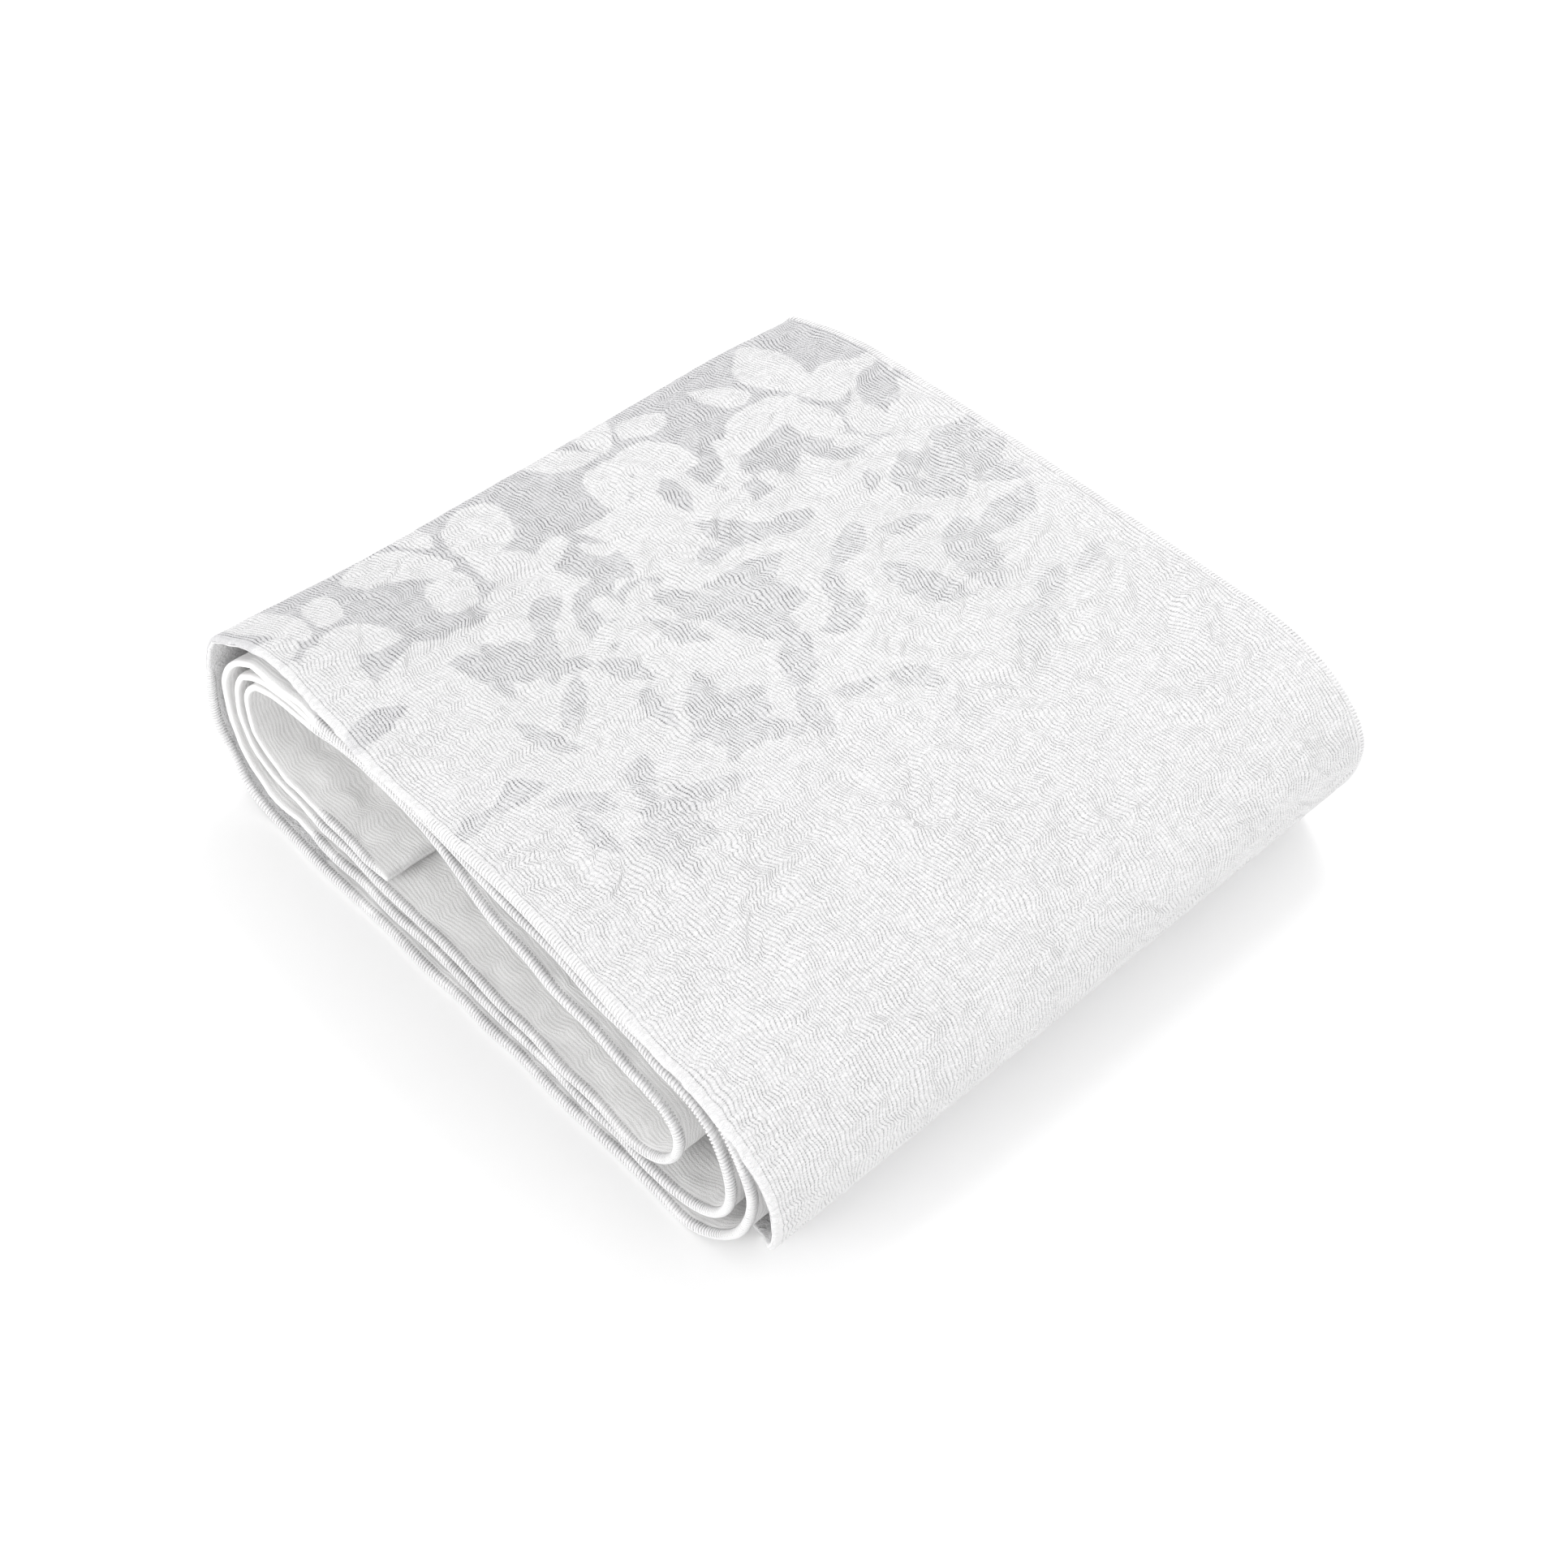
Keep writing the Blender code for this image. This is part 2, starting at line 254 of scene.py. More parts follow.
def top_knots(turn, near):
    """Knots of an upper run from its right shoulder to its left one."""
    run = TOP_RUNS[turn]
    back = TOP_SETBACKS[turn]
    left, crown, middle, right = run[1:5] if near else run[5:9]
    knots = [
        (RIGHT_FOLDS[turn].upper_x, right, back.right),
        (MIDDLE_X, middle, back.middle),
        (CROWN_X, crown, back.crown),
        (LEFT_FOLDS[1].upper_x, left, back.left),
    ]
    if turn == 0:
        crease = CREASE_NEAR_HEIGHT if near else CREASE_HEIGHT
        half_way = crease + (left - crease) * CREASE_FULLNESS
        knots.append((LEFT_FOLDS[1].upper_x / 2, half_way, back.left * CREASE_FULLNESS))
        knots.append((CREASE_X, crease, CREASE_NEAR_SETBACK))
    return knots


def low_knots(turn):
    """Knots of a lower run from its left shoulder to its right one, or to the short end."""
    run = LOW_RUNS[turn]
    back = LOW_SETBACKS[turn]
    left_x = LEFT_FOLDS[turn].lower_x
    is_short = turn == len(LOW_RUNS) - 1
    right_x = INNER_END_X if is_short else RIGHT_FOLDS[turn + 1].lower_x
    return [
        (left_x, run.left, back.left),
        ((left_x + right_x) / 2, run.middle, back.middle),
        (right_x, run.right, back.right),
    ]


def spiral(near):
    """The whole way round, from the tail on the floor to the short end inside, and where runs begin."""
    points = []
    starts = {}
    below = (CLOTH_THICKNESS / 2, TAIL_SETBACK)
    for turn, run in enumerate(TOP_RUNS):
        knots = top_knots(turn, near)
        side = fold_points(RIGHT_FOLDS[turn], knots[0][1:], below, going_down=False)
        if turn == 0:
            side = [point for point in side if point[1] > TAIL_LEAVES_HEIGHT]
            flat = (CLOTH_THICKNESS / 2, TAIL_SETBACK)
            tail = straight_points([(TAIL_END_X, *flat), (TAIL_BEND_X, *flat), side[0]], FOLD_STEPS)
            side = tail[:-1] + side
        starts["right_fold_%d" % turn] = len(points)
        points += side
        starts["top_%d" % turn] = len(points)
        points += run_points(knots)
        low = low_knots(turn)
        starts["left_fold_%d" % turn] = len(points)
        if turn == 0:
            points += creased_fold_points(LEFT_FOLDS[0], knots[-1][1:], low[0][1:])
            starts["low_%d" % turn] = len(points)
            points += straight_points(low, RUN_STEPS)
        else:
            points += fold_points(LEFT_FOLDS[turn], knots[-1][1:], low[0][1:], going_down=True)
            starts["low_%d" % turn] = len(points)
            points += run_points(low)
        below = low[-1][1:]
    starts["end"] = len(points) - 1
    return np.array(points), starts


def round_so_far(points):
    """How far round the roll each point of the way is, in metres."""
    steps = np.linalg.norm(np.diff(points[:, :2], axis=0), axis=1)
    return np.concatenate([[0.0], np.cumsum(steps)])


def evened(points, reach):
    """Round the joins between runs and folds over a short reach of cloth."""
    distance = round_so_far(points)
    spread = np.gradient(distance)
    result = np.empty_like(points)
    for index, here in enumerate(distance):
        room_left = min(reach, here, distance[-1] - here) + 1e-6
        weight = np.clip(1.0 - np.abs(distance - here) / room_left, 0.0, None) * spread
        result[index] = (weight[:, None] * points).sum(axis=0) / weight.sum()
    return result


def near_crease(x, z):
    """From 0 to 1 towards the outer crease at the top left."""
    beside = np.clip(1.0 - np.abs(x - CREASE_X) / FAR_CORNER_REACH, 0.0, 1.0)
    return beside**2 * smooth_step(z / CREASE_HEIGHT)


near_raw, run_starts = spiral(near=True)
near_way = evened(near_raw, SMOOTHING_REACH)
far_way = evened(spiral(near=False)[0], SMOOTHING_REACH)
way_reach = round_so_far(near_way)
waver_drift = EDGE_WAVER_UNEVENNESS * np.sin(way_reach * EDGE_WAVER_SLOW_TURNS)
waver = np.sin(way_reach * EDGE_WAVER_TURNS + waver_drift)
waver_fade = np.clip((way_reach - EDGE_WAVER_STARTS) / EDGE_WAVER_STARTS, 0.0, 1.0)
near_way[:, 2] += EDGE_WAVER * waver * waver_fade
far_wander = 0.5 + 0.5 * np.sin(np.linspace(0.0, FAR_WANDER_TURNS * 2 * np.pi, len(far_way)))
far_wander = FAR_SETBACK_STEP * far_wander * smooth_step(far_way[:, 1] / CREASE_HEIGHT)
far_back = CREASE_FAR_SETBACK * near_crease(far_way[:, 0], far_way[:, 1]) + far_wander
shift_x = (cad_low.x + cad_high.x) / 2 - (near_way[:, 0].min() + near_way[:, 0].max()) / 2
shift_y = cad_low.y - near_way[:, 2].min()


def reach_of(name):
    """How far round the roll a named run or fold begins."""
    return way_reach[run_starts[name]]


def cloth_middle(reach, share):
    """Places in the middle of the cloth's thickness. Reach is the distance round from the tail, and
    share runs from 0 at the near edge to 1 at the far one. Both are grids of one shape."""
    near_x, near_z, near_back = [np.interp(reach, way_reach, near_way[:, k]) for k in range(3)]
    far_x, far_z = [np.interp(reach, way_reach, far_way[:, k]) for k in range(2)]
    ends = ROLL_LENGTH - np.interp(reach, way_reach, far_back)
    along = near_back + (ends - near_back) * share
    nearness = 1.0 - smooth_step(along / NEAR_SHAPE_REACH)
    x = near_x * nearness + far_x * (1 - nearness)
    z = near_z * nearness + far_z * (1 - nearness)
    high = smooth_step((z - SAG_STARTS_AT) / CREASE_HEIGHT)
    z = z - MIDDLE_SAG * high * np.sin(np.pi * np.clip(share, 0.0, 1.0))
    past_corner = smooth_step((along - FAR_CORNER_STARTS_AT) / (ROLL_LENGTH - FAR_CORNER_STARTS_AT))
    z = z - FAR_CORNER_DROP * near_crease(x, z) * past_corner
    return np.stack([x + shift_x, along + shift_y, z], axis=-1)


def cloth_normal(reach, share):
    """Which way the outer face of the cloth points."""
    step = 0.0006
    across = cloth_middle(reach + step, share) - cloth_middle(reach - step, share)
    along = cloth_middle(reach, share + step) - cloth_middle(reach, share - step)
    normal = np.cross(along, across)
    return normal / np.linalg.norm(normal, axis=-1, keepdims=True)


# The outer turn of cloth. It is crinkled cotton jacquard, woven so that it shrinks into narrow zigzag
# ripples across the roll. Woven leaves and petals show grey, with darker painted shade in their valleys.
# The turn is modelled as a front and a back half, which meet in the valley of a ripple.
RIPPLE_PITCH = 0.0020
RIPPLE_PROFILE = (0.7, -1.0, 0.7)
VALLEY_ROW = 1
FIRST_RIPPLE_ROW = 5
PLAIN_FAR_EDGE = 0.0030
RIPPLE_HEIGHT = 0.00032
COLUMN_JITTER = 0.25
COLUMN_WIDTHS = (("right_fold_0", 0.0021), ("left_fold_0", 0.0034), ("low_0", 0.0060))
ZIGZAG_LEGS = (0.0020, 0.0068)
ZIGZAG_SLOPES = (0.05, 0.85)
ZIGZAG_BAND = 0.024
ZIGZAG_DRIFT = 0.011
FINE_LEGS = (0.0018, 0.0034)
FINE_SLOPES = (0.05, 0.50)
FINE_BAND = 0.009
ZIGZAG_SPREAD = 0.030
ZIGZAG_STEP = 0.0005
ZIGZAG_TURNS_BACK = 0.84
WIDE_WANDER = 0.0026
SWELL = 0.0005
DIMPLES = 0.00016
LUMPS = 0.00012
RELIEF_LEVEL = 0.80
RELIEF_VARIES = 0.22
RELIEF_RAGGED = 0.30
RAGGED_EDGE = 0.0006
RAGGED_REACH = 0.007
NOSE = 0.0016
EDGE_ROWS = (0.0, 0.00012, 0.0004, 0.0008, 0.0014, 0.0023)
RIPPLES_START = 0.0006
RIPPLES_FULL = 0.0030
JOIN_X = 0.060
INNER_FACE_ROW_STEP = 8
INNER_FACE_COLUMN_STEP = 3
cloth_end = way_reach[-1]
random = np.random.default_rng(2024)


def noise_field(seed, cell_reach, cell_along):
    """A smooth, seeded wander between -1 and 1 over the whole cloth."""
    values = np.random.default_rng(seed).uniform(
        -1.0, 1.0, (int(cloth_end / cell_reach) + 4, int(ROLL_LENGTH / cell_along) + 4)
    )

    def read(reach, along):
        u = np.clip(reach / cell_reach + 0.5, 0.0, values.shape[0] - 1.001)
        v = np.clip(along / cell_along + 0.5, 0.0, values.shape[1] - 1.001)
        i, j = u.astype(int), v.astype(int)
        s, t = smooth_step(u - i), smooth_step(v - j)
        low = values[i, j] * (1 - s) + values[i + 1, j] * s
        high = values[i, j + 1] * (1 - s) + values[i + 1, j + 1] * s
        return low * (1 - t) + high * t

    return read


wide_wander = noise_field(11, 0.070, 0.075)
middle_wander = noise_field(12, 0.015, 0.034)
ragged = noise_field(17, 0.0042, 0.0030)
zigzag_strength = noise_field(13, 0.030, 0.040)
swell = noise_field(15, 0.085, 0.110)
dimples = noise_field(16, 0.011, 0.009)

ripple_step = RIPPLE_PITCH / len(RIPPLE_PROFILE)
last_ripple_row = int((ROLL_LENGTH - PLAIN_FAR_EDGE) / ripple_step)
seam_row = int(0.5 * last_ripple_row / len(RIPPLE_PROFILE)) * len(RIPPLE_PROFILE) + VALLEY_ROW
near_edge_rows = np.array(EDGE_ROWS) / ripple_step
far_edge_rows = (ROLL_LENGTH - np.array(EDGE_ROWS[::-1])) / ripple_step
full_rows = np.concatenate([
    near_edge_rows,
    np.arange(FIRST_RIPPLE_ROW, last_ripple_row + 1),
    far_edge_rows,
])


def jittered_columns(first, last, width):
    """Places of columns between two reaches, unevenly spaced so that zigzags vary."""
    count = max(int((last - first) / width), 2)
    steps = 1.0 + COLUMN_JITTER * random.uniform(-1.0, 1.0, count)
    places = np.concatenate([[0.0], np.cumsum(steps)])
    return first + (last - first) * places / places[-1]


def edge_fade(along, start, full):
    """From 0 beside the near and far edges to 1 further in."""
    inside = np.minimum(along, ROLL_LENGTH - along)
    return smooth_step((inside - start) / (full - start))


def zigzag_line(legs, slopes):
    """Shift of the ripples along one line round the roll, as uneven sloping legs."""
    knots, shifts, sign = [0.0], [0.0], 1.0
    while knots[-1] < cloth_end + 0.05:
        leg = random.uniform(*legs)
        knots.append(knots[-1] + leg)
        shifts.append(shifts[-1] + sign * leg * random.uniform(*slopes))
        sign = -sign if random.uniform() < ZIGZAG_TURNS_BACK else sign
    fine = np.arange(0.0, knots[-1], ZIGZAG_STEP)
    line = np.interp(fine, knots, shifts)
    window = int(ZIGZAG_SPREAD / ZIGZAG_STEP)
    sums = np.cumsum(np.pad(line, window, mode="edge"))
    level = (sums[2 * window:] - sums[:-2 * window]) / (2 * window)
    return fine, line - level


def zigzag_set(legs, slopes, band):
    """Zigzag lines for each band of the cloth along the roll."""
    return [zigzag_line(legs, slopes) for index in range(int(ROLL_LENGTH / band) + 3)], band


coarse_zigzags = zigzag_set(ZIGZAG_LEGS, ZIGZAG_SLOPES, ZIGZAG_BAND)
fine_zigzags = zigzag_set(FINE_LEGS, FINE_SLOPES, FINE_BAND)
drift = noise_field(18, 0.060, 0.024)


def zigzag_shift(zigzags, reach, along):
    """Shift of the ripples at each place, blended from band to band."""
    lines, band = zigzags
    place = np.clip(along / band + 0.5 + 0.5 * wide_wander(reach, along), 0.0, len(lines) - 1.001)
    first = place.astype(int)
    share = smooth_step((place - first) * 1.5 - 0.25)
    shift = np.zeros(reach.shape)
    for index, (fine, line) in enumerate(lines):
        weight = np.where(first == index, 1.0 - share, 0.0) + np.where(first + 1 == index, share, 0.0)
        shift = shift + weight * np.interp(reach, fine, line)
    return shift


def shifted_rows(rows, columns):
    """Distance in from the near edge for each row and column, with the zigzags' shifts."""
    reach, row = np.meshgrid(columns, rows)
    along = row * ripple_step
    drifted = reach + ZIGZAG_DRIFT * drift(reach, along)
    zigzag = zigzag_shift(coarse_zigzags, drifted, along) * (0.75 + 0.45 * zigzag_strength(reach, along))
    zigzag = zigzag + zigzag_shift(fine_zigzags, reach, along)
    wander = WIDE_WANDER * wide_wander(reach, along)
    return reach, along, along + (zigzag + wander) * edge_fade(along, 0.001, 0.012)


def ripple_profile(rows):
    """Height of the ripples at each row, from -1 in the valleys to 1 on the crests."""
    phase = np.mod(rows, len(RIPPLE_PROFILE))
    return np.interp(phase, range(len(RIPPLE_PROFILE) + 1), RIPPLE_PROFILE + RIPPLE_PROFILE[:1])


Furrow = namedtuple("Furrow", "start end from_near lean deep wide")
FURROWS = (
    Furrow(0.120, 0.330, 0.031, 0.02, 0.0012, 0.0036),
    Furrow(0.020, 0.200, 0.066, -0.05, 0.0006, 0.0060),
    Furrow(0.180, 0.390, 0.118, 0.04, 0.0005, 0.0070),
    Furrow(0.100, 0.300, 0.230, -0.03, 0.0004, 0.0080),
)
FURROW_WANDER = 0.0022
FURROW_FADE = 0.03

Sprig = namedtuple("Sprig", "x y turn scale kind")
GREY_SPRIGS = (
    Sprig(0.082, 0.292, 20.0, 1.35, "branch"),
    Sprig(0.150, 0.205, -35.0, 1.20, "tulip"),
    Sprig(0.205, 0.318, 62.0, 1.25, "branch"),
    Sprig(0.120, 0.095, 80.0, 1.10, "tulip"),
    Sprig(0.212, 0.140, 15.0, 1.15, "tulip"),
    Sprig(0.072, 0.170, -70.0, 1.40, "branch"),
    Sprig(0.182, 0.042, -20.0, 1.00, "buds"),
    Sprig(0.250, 0.235, -60.0, 1.05, "buds"),
    Sprig(0.062, 0.052, 40.0, 1.20, "branch"),
    Sprig(0.150, 0.365, -15.0, 1.10, "tulip"),
    Sprig(0.108, 0.238, 120.0, 1.20, "buds"),
    Sprig(0.160, 0.275, 10.0, 1.10, "buds"),
    Sprig(0.095, 0.128, 25.0, 1.05, "buds"),
    Sprig(0.150, 0.135, -75.0, 1.00, "buds"),
    Sprig(0.085, 0.372, 50.0, 1.20, "branch"),
    Sprig(0.236, 0.078, -50.0, 0.95, "tulip"),
    Sprig(0.200, 0.200, 35.0, 1.30, "buds"),
    Sprig(0.245, 0.330, 20.0, 1.00, "buds"),
)
PALE_SPRIGS = (
    Sprig(0.030, 0.120, 30.0, 1.15, "flower"),
    Sprig(0.022, 0.235, -50.0, 1.10, "flower"),
    Sprig(0.050, 0.330, 70.0, 1.20, "flower"),
    Sprig(0.040, 0.025, -20.0, 1.00, "flower"),
    Sprig(0.080, 0.215, 80.0, 0.90, "buds"),
    Sprig(0.085, 0.075, 15.0, 0.80, "buds"),
    Sprig(0.098, 0.285, -65.0, 0.85, "buds"),
    Sprig(0.060, 0.160, -10.0, 0.80, "buds"),
    Sprig(0.110, 0.350, 95.0, 0.75, "flower"),
    Sprig(0.125, 0.160, -95.0, 0.60, "flower"),
)
LeafShape = namedtuple("LeafShape", "forward side turn long wide bend")
SPRIG_LEAVES = {
    "branch": (
        LeafShape(0.000, 0.000, 5.0, 0.050, 0.020, 4.0),
        LeafShape(0.020, 0.022, -52.0, 0.040, 0.017, -7.0),
        LeafShape(-0.014, -0.024, 48.0, 0.042, 0.017, 7.0),
        LeafShape(0.050, 0.004, 15.0, 0.034, 0.014, -9.0),
        LeafShape(-0.048, 0.008, -20.0, 0.038, 0.015, 9.0),
    ),
    "tulip": (
        LeafShape(0.012, 0.000, 0.0, 0.040, 0.022, 0.0),
        LeafShape(0.009, 0.013, -26.0, 0.042, 0.016, 12.0),
        LeafShape(0.009, -0.013, 26.0, 0.042, 0.016, -12.0),
        LeafShape(-0.027, 0.012, -42.0, 0.036, 0.012, -12.0),
        LeafShape(-0.040, -0.011, 36.0, 0.030, 0.011, 12.0),
    ),
    "buds": (
        LeafShape(0.000, 0.000, 10.0, 0.032, 0.015, 8.0),
        LeafShape(0.028, 0.014, -30.0, 0.028, 0.012, -8.0),
        LeafShape(-0.026, 0.012, 40.0, 0.028, 0.012, 8.0),
    ),
    "flower": (
        LeafShape(0.021, 0.004, 8.0, 0.044, 0.028, 6.0),
        LeafShape(0.002, 0.024, -82.0, 0.040, 0.022, -9.0),
        LeafShape(-0.021, 0.008, -155.0, 0.034, 0.021, 5.0),
        LeafShape(-0.012, -0.020, 128.0, 0.046, 0.023, -8.0),
        LeafShape(0.012, -0.023, 58.0, 0.028, 0.015, 8.0),
    ),
}
GREY_BAND_REACH = 0.060
GREY_BAND_PAST_CREASE = 0.004
GREY_BAND_WANDER = 0.020
FIGURE_WANDER = 0.0050
FIGURE_RAGGED = 0.0008
top_end = reach_of("left_fold_0")


def leaf_depth(across, forward, long, wide):
    """Depth inside a pointed leaf, and below 0 outside it."""
    bow = (long**2 - wide**2) / (4 * wide)
    radius = bow + wide / 2
    return radius - np.hypot(np.abs(across) + bow, forward)


def sprig_depth(x, y, sprigs):
    """Depth inside the nearest leaf of some sprigs on the flat cloth."""
    depth = np.full(x.shape, -0.05)
    for sprig in sprigs:
        angle = np.radians(sprig.turn)
        for leaf in SPRIG_LEAVES[sprig.kind]:
            forward, side = leaf.forward * sprig.scale, leaf.side * sprig.scale
            u = x - sprig.x - side * np.cos(angle) + forward * np.sin(angle)
            v = y - sprig.y - side * np.sin(angle) - forward * np.cos(angle)
            turned = np.radians(sprig.turn + leaf.turn)
            across = u * np.cos(turned) + v * np.sin(turned)
            ahead = v * np.cos(turned) - u * np.sin(turned)
            across = across - leaf.bend * ahead**2
            size = (leaf.long * sprig.scale, leaf.wide * sprig.scale)
            depth = np.maximum(depth, leaf_depth(across, ahead, *size))
    return depth


def figure_depth(reach, along):
    """How deep inside a grey woven figure each place is, in metres, and below 0 outside them."""
    x, y = top_end - reach, along
    x = x + FIGURE_WANDER * dimples(reach * 0.45, along * 0.45)
    wander = GREY_BAND_WANDER * middle_wander(reach * 0.30, along * 0.5)
    band = GREY_BAND_REACH - np.abs(x + GREY_BAND_PAST_CREASE) + wander
    depth = np.maximum(band, sprig_depth(x, y, GREY_SPRIGS))
    depth = np.minimum(depth, -sprig_depth(x, y, PALE_SPRIGS))
    return depth + FIGURE_RAGGED * ragged(reach, along)


def add_values(mesh, name, values):
    """Store a number at each vertex."""
    attribute = mesh.attributes.new(name, "FLOAT", "POINT")
    attribute.data.foreach_set("value", np.asarray(values, dtype=np.float32).ravel())


def new_piece(name, places, faces):
    """An object in the scene from its corners and faces."""
    mesh = bpy.data.meshes.new(name)
    mesh.from_pydata(places, [], faces)
    piece = bpy.data.objects.new(name, mesh)
    bpy.context.scene.collection.objects.link(piece)
    return piece


def rim_faces(outer_line, inner_line, shared, turned):
    """Triangles between a fine line of corners and a coarse one. Shared says which corners of the
    fine line lie beside those of the coarse one."""
    faces = []
    for k in range(len(inner_line) - 1):
        first, last = shared[k], shared[k + 1]
        middle = (first + last + 1) // 2
        for i in range(first, last):
            apex = inner_line[k] if i < middle else inner_line[k + 1]
            faces.append((outer_line[i], outer_line[i + 1], apex))
        faces.append((outer_line[middle], inner_line[k + 1], inner_line[k]))
    return [face[::-1] for face in faces] if turned else faces


def closed_cloth(name, outer_places, inner_places, kept_rows, kept_columns, crease_row=None):
    """A piece of cloth from a fine grid on its outer face and a coarser one on its inner face, which
    has some of the same rows and columns, with a rim round both."""
    rows, columns = outer_places.shape[:2]
    outer = np.arange(rows * columns).reshape(rows, columns)
    inner = rows * columns + np.arange(inner_places[..., 0].size).reshape(inner_places.shape[:2])
    faces = []
    for grid, is_outer in ((outer, True), (inner, False)):
        corners = [grid[:-1, :-1], grid[1:, :-1], grid[1:, 1:], grid[:-1, 1:]]
        quads = np.stack(corners if is_outer else corners[::-1], axis=-1).reshape(-1, 4)
        faces += quads.tolist()
    faces += rim_faces(outer[0], inner[0], kept_columns, False)
    faces += rim_faces(outer[-1], inner[-1], kept_columns, True)
    faces += rim_faces(outer[:, 0], inner[:, 0], kept_rows, True)
    faces += rim_faces(outer[:, -1], inner[:, -1], kept_rows, False)
    places = np.vstack([outer_places.reshape(-1, 3), inner_places.reshape(-1, 3)])
    piece = new_piece(name, places, faces)
    mesh = piece.data
    mesh.shade_smooth()
    if crease_row is not None:
        ends = np.empty(len(mesh.edges) * 2, dtype=np.int32)
        mesh.edges.foreach_get("vertices", ends)
        on_row = np.isin(ends.reshape(-1, 2), outer[crease_row]).all(axis=1)
        creases = mesh.attributes.new("sharp_edge", "BOOLEAN", "EDGE")
        creases.data.foreach_set("value", on_row)
    return piece


def kept_places(count, step, always=()):
    """Every so many places of a line, with its ends and any that are always kept."""
    return sorted(set(range(0, count, step)) | {0, count - 1} | set(always))


def nose(inside):
    """How full the cloth is at a distance in from an edge, as a rounded edge."""
    return np.sqrt(1.0 - (1.0 - np.clip(inside / NOSE, 0.0, 1.0)) ** 2)


def furrow_depth(reach, along):
    """Depth of the soft furrows that the folded cloth keeps, which run across the roll."""
    depth = np.zeros(reach.shape)
    for start, end, from_near, lean, deep, wide in FURROWS:
        wander = FURROW_WANDER * middle_wander(reach * 0.6, along * 0.2)
        middle = from_near + lean * (top_end - reach - start) + wander
        begins = smooth_step((top_end - reach - start) / FURROW_FADE)
        ends = begins * smooth_step((end - top_end + reach) / FURROW_FADE)
        depth = depth + deep * ends * np.exp(-(((along - middle) / wide) ** 2))
    return depth


def crinkled_places(reach, along, shifted, rows, side, tail_nose, height):
    """Places on the outer (side 1) or inner (side -1) face of the cloth, with its ripples."""
    share = shifted / ROLL_LENGTH
    normal = cloth_normal(reach, share)
    inside = np.minimum(along, ROLL_LENGTH - along)
    full = nose(inside)
    if tail_nose:
        full = full * nose(reach)
    relief = height * ripple_profile(rows)[:, None] * edge_fade(along, RIPPLES_START, RIPPLES_FULL)
    strength = RELIEF_LEVEL + RELIEF_VARIES * zigzag_strength(reach, along)
    relief = relief * (strength + RELIEF_RAGGED * ragged(reach, along))
    soft = SWELL * swell(reach, along) + DIMPLES * dimples(reach, along)
    soft = soft + LUMPS * ragged(reach, along * 0.7)
    soft = soft - furrow_depth(reach, along)
    offset = side * full * CLOTH_THICKNESS / 2 + (relief + soft) * full
    places = cloth_middle(reach, share) + normal * offset[..., None]
    places[..., 2] = np.maximum(places[..., 2], 0.0)
    return places


def outer_half(name, rows, columns, is_front):
    """Half the length of the outer turn, closed all round."""
    reach, along, shifted = shifted_rows(rows, columns)
    shifted = shifted + RAGGED_EDGE * ragged(reach, along) * smooth_step(1.0 - along / RAGGED_REACH)
    depth = figure_depth(reach, shifted)
    outer_places = crinkled_places(reach, along, shifted, rows, 1.0, True, RIPPLE_HEIGHT)
    inner_places = crinkled_places(reach, along, shifted, rows, -1.0, True, 0.0)
    edge_rows = range(7) if is_front else range(len(rows) - 7, len(rows))
    kept_rows = kept_places(len(rows), INNER_FACE_ROW_STEP, edge_rows)
    kept_columns = kept_places(len(columns), INNER_FACE_COLUMN_STEP, (1, 2, 3))
    seam = len(rows) - 1 if is_front else 0
    inner_places = inner_places[kept_rows][:, kept_columns]
    half = closed_cloth(name, outer_places, inner_places, kept_rows, kept_columns, seam)
    fade = edge_fade(along, RIPPLES_START, RIPPLES_FULL)
    unseen = np.ones(inner_places[..., 0].size)
    for label, values in (
        ("ripple", ripple_profile(rows)[:, None] * fade + 0.5 * (1.0 - fade)),
        ("figure", depth / 0.001),
        ("from_crease", top_end - reach),
    ):
        add_values(half.data, label, np.concatenate([values.ravel(), unseen]))
    return half


join_reach = reach_of("low_0") + JOIN_X - LEFT_FOLDS[0].lower_x
column_starts = [reach_of(name) for name, width in COLUMN_WIDTHS] + [join_reach]
outer_columns = np.concatenate([
    jittered_columns(column_starts[index], column_starts[index + 1], width)[min(index, 1):]
    for index, (name, width) in enumerate(COLUMN_WIDTHS)
])
seam_at = int(np.searchsorted(full_rows, seam_row))
outer_front = outer_half("outer_cloth_front", full_rows[:seam_at + 1], outer_columns, True)
outer_back = outer_half("outer_cloth_back", full_rows[seam_at:], outer_columns, False)


def node_group(name, inputs, outputs):
    """An empty shader node group with numbers and colours in and out."""
    group = bpy.data.node_groups.new(name, "ShaderNodeTree")
    for socket, kind in inputs:
        group.interface.new_socket(socket, in_out="INPUT", socket_type=kind)
    for socket, kind in outputs:
        group.interface.new_socket(socket, in_out="OUTPUT", socket_type=kind)
    return group, group.nodes.new("NodeGroupInput"), group.nodes.new("NodeGroupOutput")


def math(tree, operation, first, second, clamp=False):
    """A Math node fed with sockets or numbers."""
    node = tree.nodes.new("ShaderNodeMath")
    node.operation = operation
    node.use_clamp = clamp
    for socket, value in zip(node.inputs, (first, second)):
        if isinstance(value, (int, float)):
            socket.default_value = value
        else:
            tree.links.new(value, socket)
    return node.outputs[0]


def ramp(tree, value, low, high):
    """From 0 at low to 1 at high."""
    node = tree.nodes.new("ShaderNodeMapRange")
    node.interpolation_type = "SMOOTHSTEP"
    tree.links.new(value, node.inputs["Value"])
    node.inputs["From Min"].default_value = low
    node.inputs["From Max"].default_value = high
    return node.outputs["Result"]


